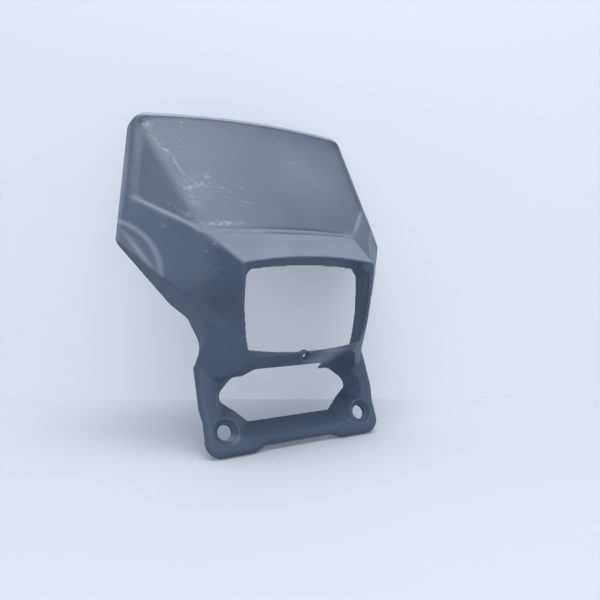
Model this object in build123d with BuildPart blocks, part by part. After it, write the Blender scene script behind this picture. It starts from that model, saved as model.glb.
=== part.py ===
from build123d import *
import os

# The cowl is drawn as it lies in its mould, flat on its rim: the first axis runs across it, the
# second up the rim plane and the third forward, along the pull. The last step stands it up.
# All sizes are in millimetres.

# Walls
skin = 3.0
side_wall = 2.6
sleeve_wall = 2.0

# Shares of the wall by which the inner corners lie inward and back from the outer ones
nose_across = 0.8
lip_across = 0.5
wing_across = 0.2
nose_back = 1.25
wing_back = 1.1

# Mould
draft = 4.0
rim_lean = 22.0
margin = 12.0
hidden_share = 1.2
tiny = 0.01
forward = (0, 0, 1)
backward = (0, 0, -1)
hung = (Align.CENTER, Align.CENTER, Align.MAX)

# Corners of the front surface, right half
lip_corner = Vector(91, 191.5, 57.7)
lip_middle = Vector(0, 191.5, 67)
top_crease = Vector(134, 366, 10)
top_middle = Vector(0, 368, 17)
lip_end = Vector(152, 251, 10.7)
side_top = Vector(168, 380, -13)
lamp_top = Vector(77, 144, 98)
brow_middle = Vector(0, 149, 103.5)
lamp_foot = Vector(74, 83.4, 63.5)
cheek = Vector(108, 126, 42)
wing_end = Vector(192, 176, -8)
base_crown = 2.0
base_reach = 50.0
chin_upper = Vector(1.69, -0.845, 1)
chin_lower = Vector(0.885, -1.188, 1)
chin_ease = 0.8
crease_round = 25.0
ridge_round = 4.0
mould_depth = brow_middle.Z + 2 * margin
block_depth = 2 * mould_depth

# Rim outline above the lower frame
rim_points = [(0, 50), (105, 50), (105, 76), (98.5, 91), (108, 119), (169, 207), (140, 363)]
rim_rounds = [1, 8, 16, 25, 12]
rim_top = 368.0
rim_corner_round = 24.0
waist_cut = [(70, -1), (80, 9), (118, 9), (140, -1)]
waist_inner = 80.0

# Lower frame
frame_points = [(0, -19.5), (40, -19.5), (52, -24.5), (104.5, -24.5),
                (103.5, 12), (106, 26), (105, 74), (0, 74)]
frame_rounds = [10, 10, 16, 20, 20, 1]
frame_front = 8.0
frame_round = 6.5

# Panel recess
recess = 3.5
recess_points = [(0, 197.5), (94.3, 197.5), (149, 253), (131, 359.5)]
recess_slope = 3.4
recess_rounds = [20, 5]
recess_band = 4.0
recess_top = rim_top - recess_band
recess_corner_round = 16.0

# Groove under the lip
groove_depth = 1.8
groove_share = 0.24
groove_short = 7.0
groove_lift = 0.5

# Lamp opening
lamp_low = (66, 70)
lamp_low_middle = 64.5
lamp_side = (71.8, 100)
lamp_high = (71.5, 143.4)
lamp_high_middle = 147.4
lamp_high_round = 6.0
lamp_low_round = 3.5
lamp_high_back = Plane(origin=(0, 144, 78), z_dir=(0, -1.17, 1))
lamp_side_back = Plane(origin=(0, 144, 71), z_dir=(0, -0.40, 1))
sleeve_cap_drop = 1.2
sleeve_cap_margin = 10.0

# Lower opening
near_points = [(0, -10), (67, -10), (67, 14), (89.5, 14), (89.5, 42), (64, 58.5), (0, 58.5)]
near_rounds = [4, 15, 5, 10, 14]
far_points = [(0, 9.8), (50, 9.8), (63, 22.2), (77, 33), (77, 42), (60, 56.8), (0, 56.8)]
far_rounds = [8, 28, 5, 10, 12]
throat_back = 11.0
throat_draft = 4.0
throat_rise = 60.0
shelf_points = [(0, -12), (48, -12), (46, -4), (41, 11.6), (0, 11.6)]
shelf_low = 50.0
shelf_high = 63.0

# Mounting holes and screw lug
hole_across = 82.0
hole_radius = 8.0
dish_radius = 13.0
dish_foot_radius = 9.5
dish_depth = 4.8
boss_radius = 14.5
boss_length = 11.0
lug_height = 61.3
lug_front = 47.0
lug_radius = 7.0
lug_length = 3.2
lug_hole_radius = 2.8
lug_pocket_radius = 5.0
lug_pocket_depth = 16.0


def sided(side, point):
    return Vector(side * point.X, point.Y, point.Z)


def beyond(start, end, length):
    return end + (end - start).normalized() * length


def stretched(start, end, share):
    return start + (end - start) * share


def inward(point, across, down):
    return Vector(point.X - across, point.Y, point.Z - down)


def arch(corner, middle):
    return Edge.make_three_point_arc(sided(-1, corner), middle, corner)


def side_line(side, start, end):
    return Edge.make_line(sided(side, start), sided(side, end))


def nearest_edge(part, start, end):
    return part.edges().sort_by_distance((start + end) * 0.5)[0]


def block_under(upper, lower):
    """Solid below the ruled face between two edges."""
    with BuildPart() as block:
        extrude(Face.make_surface_from_curves(upper, lower), amount=block_depth, dir=backward)
    return block.part


def chin_planes(wall):
    """Cuts that slope the chin back below the lamp, the third easing the crease between the others."""
    cuts = [(chin_upper, 0), (chin_lower, 0), (chin_upper.normalized() + chin_lower.normalized(), chin_ease)]
    return [Plane(origin=sided(side, lamp_foot), z_dir=sided(side, normal)).offset(-wall - ease)
            for side in (1, -1) for normal, ease in cuts]


def plate_block(down, rounding):
    """Solid below the top panel and its two side facets."""
    corner = inward(lip_corner, 0, down)
    crest = inward(beyond(lip_corner, top_crease, margin), 0, down)
    crest_middle = inward(beyond(lip_middle, top_middle, margin), 0, down)
    end = inward(beyond(lip_corner, lip_end, 2 * margin), 0, down)
    far = inward(side_top, 0, down)
    panel = block_under(arch(crest, crest_middle), arch(corner, inward(lip_middle, 0, down)))
    facets = [block_under(side_line(side, corner, crest), side_line(side, end, far)) for side in (1, -1)]
    with BuildPart() as plate:
        add(panel)
        add(facets)
        if rounding:
            creases = [nearest_edge(plate.part, sided(side, corner), sided(side, crest)) for side in (1, -1)]
            fillet(creases, rounding)
    return plate.part


def nose_block(wall):
    """Solid below the hood, the lamp face, the flanks and the wings."""
    top = inward(lamp_top, nose_across * wall, nose_back * wall)
    brow = inward(brow_middle, 0, nose_back * wall)
    foot = inward(lamp_foot, nose_across * wall, nose_back * wall)
    corner = inward(lip_corner, lip_across * wall, nose_back * wall)
    lip = inward(lip_middle, 0, nose_back * wall)
    dent = inward(cheek, wing_across * wall, wing_back * wall)
    end = inward(beyond(lip_corner, lip_end, 2 * margin), wing_across * wall, wing_back * wall)
    wing = inward(wing_end, wing_across * wall, wing_back * wall)
    base = beyond(top, foot, base_reach)
    cheek_base = beyond(corner, dent, base_reach)
    deep_corner = stretched(top, corner, hidden_share)
    deep_cheek = stretched(base, cheek_base, hidden_share)
    hood = block_under(arch(deep_corner, stretched(brow, lip, hidden_share)), arch(top, brow))
    face = block_under(arch(top, brow), arch(base, inward(base, base.X, -base_crown)))
    flanks = [block_under(side_line(side, top, deep_corner), side_line(side, base, deep_cheek))
              for side in (1, -1)]
    wings = [block_under(side_line(side, corner, end), side_line(side, cheek_base, wing))
             for side in (1, -1)]
    with BuildPart() as nose:
        add(hood)
        add(face)
        add(flanks)
        ridges = [nearest_edge(nose.part, sided(side, top), sided(side, corner)) for side in (1, -1)]
        fillet(ridges, ridge_round)
        add(wings)
        for chin in chin_planes(wall):
            split(bisect_by=chin, keep=Keep.BOTTOM)
    return nose.part


with BuildSketch() as rim_outline:
    with BuildLine():
        rim_side = FilletPolyline(*rim_points, radius=rim_rounds)
        mirror(rim_side, about=Plane.YZ)
        ThreePointArc(rim_side @ 1, (0, rim_top), sided(-1, rim_side @ 1))
    make_face()
    fillet(rim_outline.vertices().group_by(Axis.Y)[-1], rim_corner_round)

with BuildSketch() as frame_outline:
    with BuildLine():
        FilletPolyline(*frame_points, radius=frame_rounds)
        mirror(about=Plane.YZ)
    make_face()


def hull_block(inset, behind):
    """Drafted block inside the rim outline, carried straight on behind the rim plane."""
    with BuildPart() as hull:
        with BuildSketch(Plane.XY) as outline:
            add(rim_outline.sketch)
            if inset:
                offset(amount=-inset, mode=Mode.REPLACE)
        extrude(amount=mould_depth, dir=forward, taper=draft)
        if behind:
            extrude(outline.sketch, amount=behind, dir=backward)
    return hull.part


def frame_block(wall, inset, behind):
    """Flat lower frame with its front edge rounded."""
    with BuildPart() as frame:
        with BuildSketch(Plane.XY.offset(-behind)):
            add(frame_outline.sketch)
            if inset:
                offset(amount=-inset, mode=Mode.REPLACE)
        extrude(amount=frame_front - wall + behind, dir=forward)
        front_edges = frame.faces().sort_by(Axis.Z)[-1].edges()
        top_edge = front_edges.sort_by(Axis.Y)[-1].center().Y
        low_edges = front_edges.filter_by(lambda edge: edge.center().Y < top_edge - margin)
        if inset:
            chamfer(low_edges, frame_round - inset)
        else:
            fillet(low_edges, frame_round)
    return frame.part


def form(wall, floor, inset, behind):
    """Whole cowl as a solid block, drawn wall millimetres inside its outside."""
    plate = plate_block(floor, 0)
    nose = nose_block(wall)
    hull = hull_block(inset, behind)
    frame = frame_block(wall, inset, behind)
    with BuildPart() as solid:
        add(plate)
        add(nose)
        add(hull, mode=Mode.INTERSECT)
        add(frame)
    return solid.part


# Outside and inside as solid blocks
outer = form(0, 0, 0, 0)
inner = form(skin, recess + skin, side_wall, 2 * margin)


def lamp_outline(grow):
    """Lamp opening seen along the pull, grow millimetres outside its walls."""
    low = (lamp_low[0] + grow, lamp_low[1] - grow)
    high = (lamp_high[0] + grow, lamp_high[1] + grow)
    with BuildSketch(Plane.XY.offset(mould_depth)) as outline:
        with BuildLine():
            ThreePointArc((-low[0], low[1]), (0, lamp_low_middle - grow), low)
            ThreePointArc(low, (lamp_side[0] + grow, lamp_side[1]), high)
            ThreePointArc(high, (0, lamp_high_middle + grow), (-high[0], high[1]))
            ThreePointArc((-high[0], high[1]), (-lamp_side[0] - grow, lamp_side[1]), (-low[0], low[1]))
        make_face()
        fillet(outline.vertices().group_by(Axis.Y)[-1], lamp_high_round + grow)
        fillet(outline.vertices().group_by(Axis.Y)[0], lamp_low_round + grow)
    return outline.sketch


# Lamp opening with its sleeve, which stops short of the front surface and of the chin
with BuildPart() as lamp_bore:
    extrude(lamp_outline(0), amount=mould_depth, dir=backward)

cap_top = inward(lamp_top, -sleeve_cap_margin, 2 * sleeve_cap_drop)
cap_base = inward(beyond(lamp_top, lamp_foot, base_reach), -sleeve_cap_margin, 2 * sleeve_cap_drop)
cap_base_middle = inward(cap_base, cap_base.X, -base_crown)
cap_middle = inward(brow_middle, 0, sleeve_cap_drop)
sleeve_cap = block_under(arch(cap_top, cap_middle), arch(cap_base, cap_base_middle))
with BuildPart() as lamp_sleeve:
    extrude(lamp_outline(sleeve_wall), amount=mould_depth, dir=backward)
    split(bisect_by=lamp_high_back, keep=Keep.TOP)
    split(bisect_by=lamp_side_back, keep=Keep.TOP)
    add(sleeve_cap, mode=Mode.INTERSECT)
    for chin in chin_planes(sleeve_cap_drop):
        split(bisect_by=chin, keep=Keep.BOTTOM)


def throat_outline(height, points, rounds, grow):
    """Section of the lower opening at one height above the rim plane."""
    with BuildSketch(Plane.XY.offset(height)) as outline:
        with BuildLine():
            FilletPolyline(*points, radius=rounds)
            mirror(about=Plane.YZ)
        make_face()
        if grow:
            offset(amount=grow, mode=Mode.REPLACE)
    return outline.sketch


def throat_block(grow):
    """Funnel through the lower opening, grow millimetres outside its walls."""
    near = throat_outline(frame_front, near_points, near_rounds, grow)
    far = throat_outline(-throat_back, far_points, far_rounds, grow)
    with BuildPart() as throat:
        loft([far, near], ruled=True)
        extrude(near, amount=throat_rise, dir=forward, taper=-throat_draft)
    return throat.part


# Funnel walls of the lower opening, in front of the rim plane and behind it
throat = throat_block(0)
throat_wall = throat_block(sleeve_wall)

with BuildPart() as funnel_front:
    add(throat_wall)
    add(outer, mode=Mode.INTERSECT)

with BuildPart() as funnel_rear:
    add(throat_wall)
    split(bisect_by=Plane.XY, keep=Keep.BOTTOM)

# Notch that leaves a shelf below the lamp
with BuildPart() as shelf_cut:
    with BuildSketch(Plane.XZ.offset(-shelf_high)):
        with BuildLine():
            Polyline(*shelf_points)
            mirror(about=Plane.YZ)
        make_face()
    extrude(amount=shelf_high - shelf_low, dir=(0, -1, 0))

# Side walls cut back from the rim plane at the waist
with BuildPart() as waist_cuts:
    with BuildSketch(Plane.YZ.offset(waist_inner)):
        with BuildLine():
            Polyline(*waist_cut, close=True)
        make_face()
    extrude(amount=margin * 4, dir=(1, 0, 0))
    mirror(about=Plane.YZ)

# Recess in the top panel
with BuildSketch() as recess_outline:
    with BuildLine():
        recess_side = FilletPolyline(*recess_points, radius=recess_rounds)
        mirror(recess_side, about=Plane.YZ)
        ThreePointArc(recess_side @ 1, (0, recess_top), sided(-1, recess_side @ 1))
    make_face()
    fillet(recess_outline.vertices().group_by(Axis.Y)[-1], recess_corner_round)

recess_floor = plate_block(recess, crease_round)
with BuildPart() as recess_cut:
    with BuildSketch(Plane.XY):
        add(recess_outline.sketch)
    extrude(amount=mould_depth, dir=forward)
    add(recess_floor, mode=Mode.SUBTRACT)
    walls = recess_cut.faces().filter_by(lambda face: abs(face.normal_at().Z) < tiny)
    wall_edges = walls.edges().filter_by(Axis.Z, reverse=True)
    chamfer(wall_edges.filter_by(lambda edge: edge.center().Z < mould_depth - margin), recess_slope)

# Groove where the hood meets the lip
groove_rise = groove_lift + groove_short * 2 * (lip_middle.Z - lip_corner.Z) / lip_corner.X
near_end = inward(lip_corner, groove_short, -groove_rise)
far_end = inward(stretched(lip_corner, lamp_top, groove_share), groove_short, -groove_rise)
far_middle = stretched(lip_middle, brow_middle, groove_share)
near_edge = arch(near_end, inward(lip_middle, 0, groove_depth))
far_edge = arch(far_end, inward(far_middle, 0, -groove_lift))
with BuildPart() as lip_groove:
    extrude(Face.make_surface_from_curves(near_edge, far_edge), amount=margin, dir=forward)

# Shell
with BuildPart() as shell:
    add(outer)
    add(inner, mode=Mode.SUBTRACT)
    add(lamp_sleeve.part)
    add(funnel_front.part)
    add(funnel_rear.part)
    with Locations((hole_across, 0, frame_front), (-hole_across, 0, frame_front)):
        Cylinder(boss_radius, boss_length, align=hung)
    add(lamp_bore.part, mode=Mode.SUBTRACT)
    add(throat, mode=Mode.SUBTRACT)
    add(shelf_cut.part, mode=Mode.SUBTRACT)
    add(waist_cuts.part, mode=Mode.SUBTRACT)
    add(recess_cut.part, mode=Mode.SUBTRACT)
    add(lip_groove.part, mode=Mode.SUBTRACT)
    with Locations((0, lug_height, lug_front)):
        Cylinder(lug_pocket_radius, lug_pocket_depth, align=hung, mode=Mode.SUBTRACT)
        Cylinder(lug_radius, lug_length, align=hung)
        Cylinder(lug_hole_radius, lug_pocket_depth, mode=Mode.SUBTRACT)
    with Locations((hole_across, 0, frame_front), (-hole_across, 0, frame_front)):
        Cone(dish_foot_radius, dish_radius, dish_depth, align=hung, mode=Mode.SUBTRACT)
        Cylinder(hole_radius, 4 * boss_length, mode=Mode.SUBTRACT)

# Stand the cowl up on the bike: the origin is midway between the mounting holes
rim = Plane(origin=(0, 0, 0), x_dir=(1, 0, 0), z_dir=Vector(0, -1, 0).rotate(Axis.X, -rim_lean))
with BuildPart() as headlight_cowl:
    add(shell.part.moved(rim.location))

os.makedirs("parts", exist_ok=True)
headlight_cowl.part.label = "headlight_cowl"
export_step(headlight_cowl.part, "parts/headlight_cowl.step")
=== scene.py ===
import math

import bmesh
import bpy
import numpy as np
from mathutils import Matrix, Vector


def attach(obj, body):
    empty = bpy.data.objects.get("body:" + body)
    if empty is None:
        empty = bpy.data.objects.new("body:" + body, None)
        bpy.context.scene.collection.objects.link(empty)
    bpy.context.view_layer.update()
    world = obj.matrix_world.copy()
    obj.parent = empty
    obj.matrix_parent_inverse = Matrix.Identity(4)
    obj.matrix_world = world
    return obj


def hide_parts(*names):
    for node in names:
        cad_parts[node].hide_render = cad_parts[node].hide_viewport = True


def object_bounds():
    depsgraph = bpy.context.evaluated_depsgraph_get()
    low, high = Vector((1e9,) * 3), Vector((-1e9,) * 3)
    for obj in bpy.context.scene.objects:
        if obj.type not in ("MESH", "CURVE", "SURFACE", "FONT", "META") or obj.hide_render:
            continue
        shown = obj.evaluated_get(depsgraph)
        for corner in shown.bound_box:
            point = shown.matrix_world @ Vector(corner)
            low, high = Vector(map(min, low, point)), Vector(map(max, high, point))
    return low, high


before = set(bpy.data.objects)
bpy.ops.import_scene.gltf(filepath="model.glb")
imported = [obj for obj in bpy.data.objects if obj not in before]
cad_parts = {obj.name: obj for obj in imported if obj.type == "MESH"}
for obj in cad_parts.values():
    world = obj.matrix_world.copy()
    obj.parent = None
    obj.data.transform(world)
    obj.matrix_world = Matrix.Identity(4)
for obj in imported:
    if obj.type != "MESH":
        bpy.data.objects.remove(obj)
cad_box = [list(corner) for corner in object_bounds()]

# The cowl's shell: polypropylene about 3 mm thick, injection moulded in one piece and pulled forward off
# its core. The tool leaves every edge eased and the corners of the nose run softly into each other, so a
# fine skin is drawn over the solid and then rubbed down, most where the real corners are roundest.
mm = 0.001
lean = math.radians(22)

# The mould's own directions, which every place on the shell is given along, in millimetres
across = Vector((1, 0, 0))
up_rim = Vector((0, math.sin(lean), math.cos(lean)))
pull = Vector((0, -math.cos(lean), math.sin(lean)))
out_of_mould = Matrix((across, up_rim, pull)).transposed().to_4x4() @ Matrix.Scale(mm, 4)

# A copy of the solid, with its loose triangles merged
merge_gap = 0.02 * mm
shape = bmesh.new()
shape.from_mesh(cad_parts["headlight_cowl"].data)
bmesh.ops.remove_doubles(shape, verts=shape.verts, dist=merge_gap)


def all_of(piece):
    """Every vertex, edge and face of a piece."""
    return piece.verts[:] + piece.edges[:] + piece.faces[:]


def draw_out(piece, extruded, depth):
    """Moves what an extrusion has made along the pull."""
    moved = [part for part in extruded["geom"] if isinstance(part, bmesh.types.BMVert)]
    bmesh.ops.translate(piece, verts=moved, vec=(0, 0, depth))


# Floor of the slot behind the screw lug: two blocks, each from its low corner to its high one
slot_floor = bmesh.new()
for low, high in (((-6, 60.8, 38), (-1.5, 64.4, 45)),
                  ((-6, 60.3, 30), (6, 62.2, 39))):
    low, high = Vector(low), Vector(high)
    block = Matrix.Translation((low + high) / 2) @ Matrix.Diagonal((high - low).to_4d())
    bmesh.ops.create_cube(slot_floor, size=1.0, matrix=block)

# Side walls of the lamp opening, a few millimetres deeper than the solid's: a bowed sheet that three planes
# trim, each with a place that it goes through and the way that it cuts off
cheek_foot = (66, 70, 100)
cheek_depth = 80
cheek_wall = 2.0
bow_centre = (-114.3, 120.4, 100)
bow_angle = math.radians(22.7)
bow_steps = 12
cheeks = bmesh.new()
cheeks.verts.new(cheek_foot)
bmesh.ops.spin(cheeks, geom=cheeks.verts[:], cent=bow_centre, axis=(0, 0, 1), angle=bow_angle,
               steps=bow_steps)
draw_out(cheeks, bmesh.ops.extrude_edge_only(cheeks, edges=cheeks.edges[:]), -cheek_depth)
for through, cut_off in (((0, 144, 70), (0, 0.45, -1)),
                         ((0, 147, 76), (0, 1.5, -1)),
                         ((0, 144, 93), (0, -0.569, 1))):
    bmesh.ops.bisect_plane(cheeks, geom=all_of(cheeks), plane_co=through, plane_no=cut_off, clear_outer=True)
bmesh.ops.recalc_face_normals(cheeks, faces=cheeks.faces)
bmesh.ops.solidify(cheeks, geom=cheeks.faces[:], thickness=cheek_wall)
bmesh.ops.mirror(cheeks, geom=all_of(cheeks), axis="X", merge_dist=0.0)
bmesh.ops.recalc_face_normals(cheeks, faces=cheeks.faces)

# Webs that round the upper corners of the lamp opening: a three-cornered bar, trimmed in the same way
web_corners = (72.6, 151, 60), (55.6, 151, 60), (72.6, 134, 60)
web_depth = 36
webs = bmesh.new()
web = webs.faces.new([webs.verts.new(corner) for corner in web_corners])
draw_out(webs, bmesh.ops.extrude_face_region(webs, geom=[web], use_keep_orig=True), web_depth)
for through, cut_off in (((56, 147, 78.8), (-0.59, 0, -1)),
                         ((0, 146, 96), (0, 1, 1)),
                         ((0, 144, 96), (0, -0.569, 1))):
    bmesh.ops.bisect_plane(webs, geom=all_of(webs), plane_co=through, plane_no=cut_off, clear_outer=True)
    bmesh.ops.holes_fill(webs, edges=webs.edges[:])
bmesh.ops.mirror(webs, geom=all_of(webs), axis="X", merge_dist=0.0)
bmesh.ops.recalc_face_normals(webs, faces=webs.faces)

shell_mesh = bpy.data.meshes.new("cowl_shell")
for part in (slot_floor, cheeks, webs):
    bmesh.ops.transform(part, matrix=out_of_mould, verts=part.verts)
    part.to_mesh(shell_mesh)
    part.free()
    shape.from_mesh(shell_mesh)
shape.to_mesh(shell_mesh)
shape.free()
shell = bpy.data.objects.new("cowl_shell", shell_mesh)
bpy.context.collection.objects.link(shell)


def apply_modifiers(piece):
    """Puts the result of the piece's modifiers in its mesh."""
    bpy.context.view_layer.update()
    result = bpy.data.meshes.new_from_object(piece.evaluated_get(bpy.context.evaluated_depsgraph_get()))
    piece.modifiers.clear()
    spent = piece.data
    piece.data = result
    bpy.data.meshes.remove(spent)


skin_pitch = 1.0 * mm
skin = shell.modifiers.new("fine_skin", "REMESH")
skin.mode = "VOXEL"
skin.voxel_size = skin_pitch
skin.use_smooth_shade = True
apply_modifiers(shell)

# Where each point of the skin lies in the mould, on the right half for both halves, and which points are on
# the side that faces out of the mould
least_outward = 0.2
places = np.empty(3 * len(shell.data.vertices))
shell.data.vertices.foreach_get("co", places)
places = places.reshape(-1, 3)
normals = np.empty(places.size)
shell.data.vertex_normals.foreach_get("vector", normals)
outer = normals.reshape(-1, 3) @ np.array(pull) > least_outward
half = places @ np.array([across, up_rim, pull]).T / mm
half[:, 0] = abs(half[:, 0])
aside, height, forward = half.T

# The recess runs shallower under the top edge, which droops towards its ends
top_middle, top_droop, top_reach = 364, 4.5, 131
recess_lift, lift_start, lift_end = 2.6, 3.4, 30
panel_reach = 140
below_top = top_middle - top_droop * (aside / top_reach) ** 2 - height
lift = recess_lift * np.clip(below_top / lift_start, 0, 1) * np.clip(1 - below_top / lift_end, 0, 1) ** 2
lift = np.where(outer & (aside < panel_reach), lift, 0)

# A low fold crosses each wing's tip, on a circle round a place beyond the tip
fold_centre = (209.5, 168)
fold_radius, fold_height, fold_width = 74, 0.7, 3.0
wing_start = 120
from_fold = np.hypot(aside - fold_centre[0], height - fold_centre[1]) - fold_radius
lift += np.where(outer & (aside > wing_start), fold_height * np.exp(-(from_fold / fold_width) ** 2), 0)

# Each flank swells above a crease that runs from the foot of the lamp opening to the wing's lower edge. The
# swell fades beside the opening and at the crease's upper end.
crease_foot, crease_way = (72, 81.5), (0.6, 0.8)
swell_height, swell_width = 1.3, 14
flank_back, flank_top = 25, 150
over_foot, up_foot = aside - crease_foot[0], height - crease_foot[1]
above_crease = np.clip(up_foot * crease_way[0] - over_foot * crease_way[1], 0, None) / swell_width
along_crease = up_foot * crease_way[1] + over_foot * crease_way[0]
swell = swell_height * above_crease * np.exp(1 - above_crease) * np.interp(along_crease, (60, 88), (1, 0))
swell *= np.interp(aside, (74, 86), (0, 1))
lift += np.where(outer & (forward > flank_back) & (height < flank_top), swell, 0)
places += lift[:, None] * mm * np.array(pull)

# The lip is narrower than the solid's, so the recess's foot moves down the panel
foot_drop, panel_slope = 2.5, 0.283
lower = np.interp(height, (192, 196.5, 202, 214), (0, foot_drop, foot_drop, 0))
lower *= np.interp(aside, (96, 106), (1, 0))
places -= np.where(outer, lower, 0)[:, None] * mm * np.array(up_rim - panel_slope * pull)
shell.data.vertices.foreach_set("co", places.ravel())

# Corners to rub down: the line along each, how far round it, and how often
ease = shell.modifiers.new("eased", "SMOOTH")
ease.iterations = 3
for number, (start, end, reach, passes) in enumerate((
        ((92, 188, 57), (103, 146, 47), 20, 120),
        ((86, 173, 73), (92, 190, 57), 8, 30),
        ((91, 191.5, 57.7), (102, 203, 50), 8, 20),
        ((86, 173, 73), (78, 146, 96), 5, 6),
        ((76, 80, 58), (89, 48, 8), 9, 50),
        ((104, 77, 8), (93, 56, 8), 9, 60),
        ((93, 56, 8), (78, 40, 8), 8, 50),
        ((74, 83, 62), (75, 86, 65), 6, 12),
        ((66, 141, 72), (66, 141, 94), 7, 12),
        ((0, 149, 103), (43, 146, 101), 4, 8),
        ((43, 146, 101), (72, 144.4, 98.6), 4, 8),
        ((104, 76, 7), (97, 91, 31), 9, 60),
        ((97, 91, 31), (106, 119, 39), 9, 60),
        ((149, 253, 8), (131, 350, 8), 12, 70),
        ((100, 203, 52), (149, 253, 8), 6, 14))):
    start, line = np.array(start), np.subtract(end, start)
    share = np.clip((half - start) @ line / (line @ line), 0, 1)
    near = np.linalg.norm(half - start - share[:, None] * line, axis=1) < reach
    corner = shell.vertex_groups.new(name=f"corner_{number}")
    corner.add(np.flatnonzero(near).tolist(), 1.0, "REPLACE")
    rub_down = shell.modifiers.new(corner.name, "SMOOTH")
    rub_down.vertex_group = corner.name
    rub_down.iterations = passes
most_triangles = 190000
thin = shell.modifiers.new("thinned", "DECIMATE")
thin.ratio = most_triangles / (2 * len(shell.data.polygons))
apply_modifiers(shell)
shell.vertex_groups.clear()

# The solid's tightest corners leave specks of void inside the wall, so only what hangs together is kept
whole = bmesh.new()
whole.from_mesh(shell.data)
to_visit = [max(whole.verts, key=lambda vert: vert.co.z)]
reached = set(to_visit)
while to_visit:
    vert = to_visit.pop()
    for edge in vert.link_edges:
        other = edge.other_vert(vert)
        if other not in reached:
            reached.add(other)
            to_visit.append(other)
bmesh.ops.delete(whole, geom=[vert for vert in whole.verts if vert not in reached], context="VERTS")
whole.to_mesh(shell.data)
whole.free()


# Moulded polypropylene, coloured right through and left out in the sun: a dark slate plastic with a dull
# sheen and the fine matt grain of the tool. Upper faces are faded and carry a painted top light, edges and
# knocks show pale where the plastic has whitened and where highlights are painted along rims and crests,
# hollows and flanks carry painted shade, and the panel carries long hair scratches.
def colour(code):
    """sRGB hex to linear colour."""
    parts = [int(code[i:i + 2], 16) / 255 for i in (0, 2, 4)]
    return [p / 12.92 if p <= 0.04045 else ((p + 0.055) / 1.055) ** 2.4 for p in parts] + [1.0]


def node(tree, kind, links=None, **settings):
    """Adds a node with its settings, and sets or links its inputs."""
    made = tree.nodes.new(kind)
    for name, value in settings.items():
        setattr(made, name, value)
    for socket, source in (links or {}).items():
        if hasattr(source, "is_output"):
            tree.links.new(source, made.inputs[socket])
        else:
            made.inputs[socket].default_value = source
    return made


plastic = bpy.data.materials.new("moulded_polypropylene")
plastic.use_nodes = True
tree = plastic.node_tree
tree.nodes.clear()
place = node(tree, "ShaderNodeTexCoord").outputs["Object"]
on_mould = node(tree, "ShaderNodeMapping",
                {"Vector": place, "Rotation": (lean - math.pi / 2, 0, 0)}).outputs["Vector"]
facing = node(tree, "ShaderNodeNewGeometry")
outward = node(tree, "ShaderNodeVectorMath", {0: facing.outputs["Normal"], 1: pull},
               operation="DOT_PRODUCT").outputs["Value"]
outside = node(tree, "ShaderNodeMapRange",
               {"Value": outward, "From Min": 0.05, "From Max": 0.3}).outputs["Result"]
upward = node(tree, "ShaderNodeSeparateXYZ", {"Vector": facing.outputs["Normal"]}).outputs["Z"]

# Blotches about 30 mm across, and a grain of 1.5 mm, drawn coarser than the tool's 0.3 mm so that it shows
blotch_width, grain_width = 30 * mm, 1.5 * mm
blotch = node(tree, "ShaderNodeTexNoise",
              {"Vector": on_mould, "Scale": 1 / blotch_width, "Detail": 4.0, "Roughness": 0.6}).outputs["Fac"]
grain = node(tree, "ShaderNodeTexNoise",
             {"Vector": on_mould, "Scale": 1 / grain_width, "Detail": 2.0}).outputs["Fac"]

# Fading and a painted top light on the faces that look up, brightest on the hood's roof, and less and less
# towards the lower frame, which the nose shades
fade_and_top_light = node(tree, "ShaderNodeMapRange",
            {"Value": upward, "From Min": 0.1, "From Max": 0.95, "To Max": 0.52}).outputs["Result"]
roof_highlight = node(tree, "ShaderNodeMapRange",
            {"Value": upward, "From Min": 0.7, "From Max": 0.9, "To Max": 0.45}).outputs["Result"]
fade_and_top_light = node(tree, "ShaderNodeMath", {0: fade_and_top_light, 1: roof_highlight}, operation="ADD").outputs["Value"]
level = node(tree, "ShaderNodeSeparateXYZ", {"Vector": place}).outputs["Z"]
clear_of_nose_shade = node(tree, "ShaderNodeMapRange",
              {"Value": level, "From Min": 50 * mm, "From Max": 150 * mm}).outputs["Result"]
uneven = node(tree, "ShaderNodeMapRange",
              {"Value": blotch, "From Min": 0.3, "From Max": 0.7, "To Min": 0.8,
               "To Max": 1.15}).outputs["Result"]
faded_and_top_lit = node(tree, "ShaderNodeMath", {0: fade_and_top_light, 1: clear_of_nose_shade}, operation="MULTIPLY").outputs["Value"]
faded_and_top_lit = node(tree, "ShaderNodeMath", {0: faded_and_top_lit, 1: uneven}, operation="MULTIPLY").outputs["Value"]

# Hair scratches about 30 mm long, drawn 0.8 mm wide so that they show, in two slants and only where the
# plastic is faded and painted lighter by the top light
hair_length, hair_width, hair_depth = 30 * mm, 0.8 * mm, 60 * mm
hairs = []
for slant in (48, -25):
    turned = node(tree, "ShaderNodeMapping",
                  {"Vector": on_mould, "Rotation": (0, 0, math.radians(slant)),
                   "Scale": (1 / hair_length, 1 / hair_width, 1 / hair_depth)}).outputs["Vector"]
    streaks = node(tree, "ShaderNodeTexNoise", {"Vector": turned, "Scale": 1.0, "Detail": 0.0}).outputs["Fac"]
    hairs.append(node(tree, "ShaderNodeMapRange",
                      {"Value": streaks, "From Min": 0.74, "From Max": 0.86,
                       "To Max": 0.3}).outputs["Result"])
wear_and_highlight = node(tree, "ShaderNodeMath", {0: hairs[0], 1: hairs[1]}, operation="MAXIMUM").outputs["Value"]
wear_and_highlight = node(tree, "ShaderNodeMath", {0: wear_and_highlight, 1: faded_and_top_lit}, operation="MULTIPLY").outputs["Value"]


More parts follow.
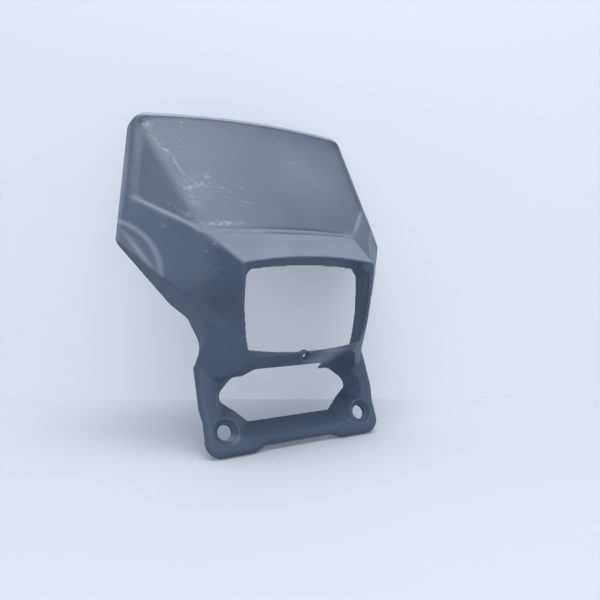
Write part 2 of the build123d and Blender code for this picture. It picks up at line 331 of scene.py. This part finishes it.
def oval_mark(amount, vector, middle, half_length, half_width, turn, strength, mask=None):
    """Adds a soft oval mark to an amount of wear, painted highlight or painted shade, with its place and
    sizes in mould millimetres.
    """
    oval = node(tree, "ShaderNodeMapping",
                {"Vector": vector, "Location": (middle[0] * mm, middle[1] * mm, 0), "Rotation": (0, 0, turn),
                 "Scale": (half_length * mm, half_width * mm, 1)}, vector_type="TEXTURE").outputs["Vector"]
    mark = node(tree, "ShaderNodeTexGradient", {"Vector": oval}, gradient_type="SPHERICAL").outputs["Fac"]
    if mask is not None:
        mark = node(tree, "ShaderNodeMath", {0: mark, 1: mask}, operation="MULTIPLY").outputs["Value"]
    return node(tree, "ShaderNodeMath", {0: mark, 1: strength, 2: amount},
                operation="MULTIPLY_ADD").outputs["Value"]


# Rubbed places on the left of the panel and the lip, broken up by specks about 4 mm across: middle, half
# length, half width, slant and strength
speck_width = 4 * mm
specks = node(tree, "ShaderNodeTexNoise",
              {"Vector": on_mould, "Scale": 1 / speck_width, "Detail": 3.0, "Roughness": 0.65}).outputs["Fac"]
broken = node(tree, "ShaderNodeMapRange",
              {"Value": specks, "From Min": 0.42, "From Max": 0.72}).outputs["Result"]
for middle, half_length, half_width, slant, strength in (
        ((-124, 346), 10, 9, -60, 0.8),
        ((-112, 312), 36, 6, -62, 0.35),
        ((-101, 286), 30, 4, -70, 0.3),
        ((-88, 256), 34, 24, 60, 0.3),
        ((-96, 254.5), 6, 4, 20, 1.1),
        ((-72, 272), 7, 4, 70, 0.9),
        ((-82, 259), 8, 5, 45, 0.8),
        ((-93, 236), 15, 7, -60, 0.45),
        ((-70, 206), 28, 4.5, 0, 0.9),
        ((-104, 222), 34, 5, -55, 0.4),
        ((-75, 322), 70, 46, 10, 0.08)):
    wear_and_highlight = oval_mark(wear_and_highlight, on_mould, middle, half_length, half_width, math.radians(slant), strength, broken)

# Single scratches on the panel, the lip, the left wing and beside the hood, and two wide painted
# highlights, along the lip's crest and on the right of the panel
for middle, half_length, half_width, slant, strength in (
        ((-101.5, 286.5), 17, 1.6, -77, 0.3),
        ((-109.6, 308), 7, 1.6, -40, 0.5),
        ((-60, 255), 6, 1.0, -4, 0.5),
        ((-51.5, 249), 4, 1.0, -28, 0.45),
        ((-36, 256.5), 4, 1.0, -10, 0.4),
        ((-38, 235.5), 10, 1.0, -17, 0.4),
        ((-126, 212), 2.4, 1.0, 30, 0.5),
        ((-94, 174), 2.2, 0.9, 40, 0.4),
        ((-88, 178), 2.2, 1.2, 10, 0.4),
        ((40, 304), 2.5, 1.6, 0, 0.4),
        ((-84, 353), 2.5, 1.6, 0, 0.5),
        ((-40, 193.5), 4, 1.2, 0, 0.4),
        ((-5, 193), 105, 4.5, 0, 0.2),
        ((62, 285), 80, 70, 0, 0.12)):
    wear_and_highlight = oval_mark(wear_and_highlight, on_mould, middle, half_length, half_width, math.radians(slant), strength)
wear_and_highlight = node(tree, "ShaderNodeMath", {0: wear_and_highlight, 1: outside}, operation="MULTIPLY").outputs["Value"]

# A pale band along the fold across each wing's tip, paler beyond it
white_radius, white_width = (fold_radius + 2) * mm, 5 * mm
halves = node(tree, "ShaderNodeVectorMath", {0: on_mould}, operation="ABSOLUTE").outputs["Vector"]
flat = node(tree, "ShaderNodeVectorMath", {0: halves, 1: (1, 1, 0)}, operation="MULTIPLY").outputs["Vector"]
from_tip = node(tree, "ShaderNodeVectorMath", {0: flat, 1: (fold_centre[0] * mm, fold_centre[1] * mm, 0)},
                operation="DISTANCE").outputs["Value"]
off_fold = node(tree, "ShaderNodeMath", {0: from_tip, 1: white_radius}, operation="SUBTRACT").outputs["Value"]
off_fold = node(tree, "ShaderNodeMath", {0: off_fold}, operation="ABSOLUTE").outputs["Value"]
fold = node(tree, "ShaderNodeMapRange",
            {"Value": off_fold, "From Min": 0.0, "From Max": white_width, "To Min": 0.22, "To Max": 0.0},
            interpolation_type="SMOOTHSTEP").outputs["Result"]
tip = node(tree, "ShaderNodeMapRange",
           {"Value": from_tip, "From Min": 72 * mm, "From Max": 77 * mm, "To Min": 0.07,
            "To Max": 0.0}).outputs["Result"]
wing_pale_and_highlight = node(tree, "ShaderNodeMath", {0: fold, 1: tip}, operation="ADD").outputs["Value"]

# Painted highlights along the lower edge and the crest of each wing
wing_pale_and_highlight = oval_mark(wing_pale_and_highlight, flat, (150, 191), 36, 3.5, math.atan2(58, 26), 0.35)
wing_pale_and_highlight = oval_mark(wing_pale_and_highlight, flat, (124, 228), 50, 5, math.atan2(50, 49), 0.2)
wing_pale_and_highlight = node(tree, "ShaderNodeMath", {0: wing_pale_and_highlight, 1: outside}, operation="MULTIPLY").outputs["Value"]
wear_and_highlight = node(tree, "ShaderNodeMath", {0: wear_and_highlight, 1: wing_pale_and_highlight}, operation="ADD").outputs["Value"]

# Rubbed rim with a painted highlight: the band above the recess's upper arc, and down each side of the panel
arc_centre, rim_start, rim_full = -1545 * mm, 1906.8 * mm, 1908.0 * mm
from_arc = node(tree, "ShaderNodeVectorMath", {0: flat, 1: (0, arc_centre, 0)},
                operation="DISTANCE").outputs["Value"]
rim_wear_and_highlight = node(tree, "ShaderNodeMapRange",
           {"Value": from_arc, "From Min": rim_start, "From Max": rim_full, "To Max": 0.6}).outputs["Result"]
wear_and_highlight = node(tree, "ShaderNodeMath", {0: rim_wear_and_highlight, 1: outside, 2: wear_and_highlight}, operation="MULTIPLY_ADD").outputs["Value"]
wear_and_highlight = oval_mark(wear_and_highlight, flat, (155, 283), 110, 5, math.atan2(156, -29), 0.42)

# Scuffs under the sill on the right, and beside the left mounting hole
wear_and_highlight = oval_mark(wear_and_highlight, on_mould, (30, 59), 24, 8, math.radians(6), 0.4)
wear_and_highlight = oval_mark(wear_and_highlight, on_mould, (-76, -8), 12, 6, 0, 0.2)

# Pale edges, where knocks have whitened the plastic, with a painted highlight on every sharp outer edge
edges = node(tree, "ShaderNodeMapRange",
             {"Value": facing.outputs["Pointiness"], "From Min": 0.53, "From Max": 0.66,
              "To Max": 0.5}).outputs["Result"]
wear_and_highlight = node(tree, "ShaderNodeMath", {0: wear_and_highlight, 1: edges}, operation="ADD", use_clamp=True).outputs["Value"]

# Painted shade in the hollows and along the foot of the recess
painted_shade = node(tree, "ShaderNodeMapRange",
            {"Value": facing.outputs["Pointiness"], "From Min": 0.495, "From Max": 0.43,
             "To Max": 0.5}).outputs["Result"]
painted_shade = oval_mark(painted_shade, on_mould, (22, 199), 95, 4, 0, 0.8, outside)

# Painted shade on the swell of each flank, down to its crease
crease = node(tree, "ShaderNodeMapping",
              {"Vector": flat, "Location": (91.4 * mm, 119.2 * mm, 0),
               "Rotation": (0, 0, math.atan2(crease_way[1], crease_way[0])), "Scale": (58 * mm, 20 * mm, 1)},
              vector_type="TEXTURE").outputs["Vector"]
flank_shade = node(tree, "ShaderNodeTexGradient", {"Vector": crease}, gradient_type="SPHERICAL").outputs["Fac"]
over_crease = node(tree, "ShaderNodeSeparateXYZ", {"Vector": crease}).outputs["Y"]
over_crease = node(tree, "ShaderNodeMapRange",
                   {"Value": over_crease, "From Min": -0.44, "From Max": -0.3}).outputs["Result"]
flank_shade = node(tree, "ShaderNodeMath", {0: flank_shade, 1: over_crease}, operation="MULTIPLY").outputs["Value"]
flank_shade = node(tree, "ShaderNodeMath", {0: flank_shade, 1: outside}, operation="MULTIPLY").outputs["Value"]
painted_shade = node(tree, "ShaderNodeMath", {0: flank_shade, 1: 0.4, 2: painted_shade},
            operation="MULTIPLY_ADD", use_clamp=True).outputs["Value"]

# The slate, then the fading and painted top light, the painted shade, and the pale wear and painted
# highlights laid over it. A Mix node's colour sockets share their names with others, so they go by number.
first, second, mixed = 6, 7, 2
slate = node(tree, "ShaderNodeMix", {"Factor": blotch, first: colour("3a485d"), second: colour("48576c")},
             data_type="RGBA").outputs[mixed]
sunned_and_top_lit = node(tree, "ShaderNodeMix", {"Factor": faded_and_top_lit, first: slate, second: colour("757c89")},
              data_type="RGBA").outputs[mixed]
shaded = node(tree, "ShaderNodeMix", {"Factor": painted_shade, first: sunned_and_top_lit, second: colour("222b38")},
             data_type="RGBA").outputs[mixed]
worn_and_lit = node(tree, "ShaderNodeMix", {"Factor": wear_and_highlight, first: shaded, second: colour("aab4c2")},
            data_type="RGBA").outputs[mixed]

# A dull sheen that varies with the blotches, over the tool's grain and the scratches cut into it
dull = node(tree, "ShaderNodeMapRange",
            {"Value": blotch, "From Min": 0.3, "From Max": 0.7, "To Min": 0.42,
             "To Max": 0.54}).outputs["Result"]
relief = node(tree, "ShaderNodeMath", {0: wear_and_highlight, 1: -0.6, 2: grain}, operation="MULTIPLY_ADD").outputs["Value"]
bump = node(tree, "ShaderNodeBump",
            {"Height": relief, "Strength": 0.25, "Distance": 0.15 * mm}).outputs["Normal"]
surface = node(tree, "ShaderNodeBsdfPrincipled",
               {"Base Color": worn_and_lit, "Roughness": dull, "IOR": 1.49, "Normal": bump}).outputs["BSDF"]
node(tree, "ShaderNodeOutputMaterial", {"Surface": surface})
shell.data.materials.clear()
shell.data.materials.append(plastic)
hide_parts("headlight_cowl")
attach(shell, "root")

# The studio: a pale board to stand on and a pale board behind, both of matt painted hardboard.
# The one behind glows faintly though it is no lamp, a painted light that lifts the shade cast on it. It is
# seen only from its front, so that it doesn't hide the cowl from other sides.
camera_place = Vector((-0.2916, -0.5154, 0.1632))
heading = math.radians(30)
ahead = Vector((math.sin(heading), math.cos(heading), 0))
board_distance = 0.795
board_half_width = 3.0
floor_level = cad_box[0][2]
for name, middle, normal, tone, painted_glow in (
        ("floor_board", Vector((0, 0, floor_level)), Vector((0, 0, 1)), "ced2da", 0.0),
        ("back_board", camera_place + ahead * board_distance, -ahead, "d3d6dc", 0.17)):
    paint = bpy.data.materials.new(name + "_paint")
    paint.use_nodes = True
    tree = paint.node_tree
    matt = tree.nodes["Principled BSDF"]
    matt.inputs["Base Color"].default_value = colour(tone)
    matt.inputs["Roughness"].default_value = 0.7
    matt.inputs["Emission Color"].default_value = colour("e4e7ee")
    matt.inputs["Emission Strength"].default_value = painted_glow
    seen = node(tree, "ShaderNodeNewGeometry")
    clear = node(tree, "ShaderNodeBsdfTransparent")
    one_sided = node(tree, "ShaderNodeMixShader",
                     {0: seen.outputs["Backfacing"], 1: matt.outputs["BSDF"], 2: clear.outputs["BSDF"]})
    tree.links.new(one_sided.outputs["Shader"], tree.nodes["Material Output"].inputs["Surface"])
    sheet = bmesh.new()
    bmesh.ops.create_grid(sheet, x_segments=1, y_segments=1, size=board_half_width)
    bmesh.ops.rotate(sheet, verts=sheet.verts, matrix=normal.to_track_quat("Z", "Y").to_matrix())
    bmesh.ops.translate(sheet, verts=sheet.verts, vec=middle)
    board_mesh = bpy.data.meshes.new(name)
    sheet.to_mesh(board_mesh)
    sheet.free()
    board = bpy.data.objects.new(name, board_mesh)
    bpy.context.collection.objects.link(board)
    board_mesh.materials.append(paint)

# The light: a bright room all round, with a wide soft box hung overhead and a weaker one stood in front.
# Both are white cloth over lamps, so the shadows are soft.
world = bpy.data.worlds.new("studio")
bpy.context.scene.world = world
world.use_nodes = True
world.node_tree.nodes["Background"].inputs["Color"].default_value = colour("e3e8f4")
world.node_tree.nodes["Background"].inputs["Strength"].default_value = 0.66
for name, lamp_place, aim, width, power in (
        ("soft_box", (-0.1, -0.3, 2.2), (0, -0.05, 0.1), 1.7, 38.0),
        ("front_fill", (-0.7, -2.1, 0.7), (0, 0, 0.1), 1.5, 11.0)):
    lamp = bpy.data.lights.new(name, "AREA")
    lamp.size = width
    lamp.energy = power
    light = bpy.data.objects.new(name, lamp)
    light.location = lamp_place
    light.rotation_euler = (Vector(aim) - Vector(lamp_place)).to_track_quat("-Z", "Y").to_euler()
    bpy.context.collection.objects.link(light)

# The camera: about level with the top of the lamp opening, 30 degrees round to the left as seen from the
# front, and looking slightly down. Its lens and tilt come from lengths in a picture 600 pixels wide.
picture_width, focal_length, horizon_rise = 600, 557, 30
camera = bpy.data.cameras.new("photo_camera")
camera.sensor_width = 36.0
camera.lens = focal_length / picture_width * camera.sensor_width
camera.clip_start = 0.01
viewer = bpy.data.objects.new("photo_camera", camera)
viewer.location = camera_place
tilt = math.atan(horizon_rise / focal_length)
sight = ahead * math.cos(tilt) - Vector((0, 0, math.sin(tilt)))
viewer.rotation_euler = sight.to_track_quat("-Z", "Y").to_euler()
bpy.context.collection.objects.link(viewer)
bpy.context.scene.camera = viewer
bpy.context.scene.view_settings.view_transform = "Standard"
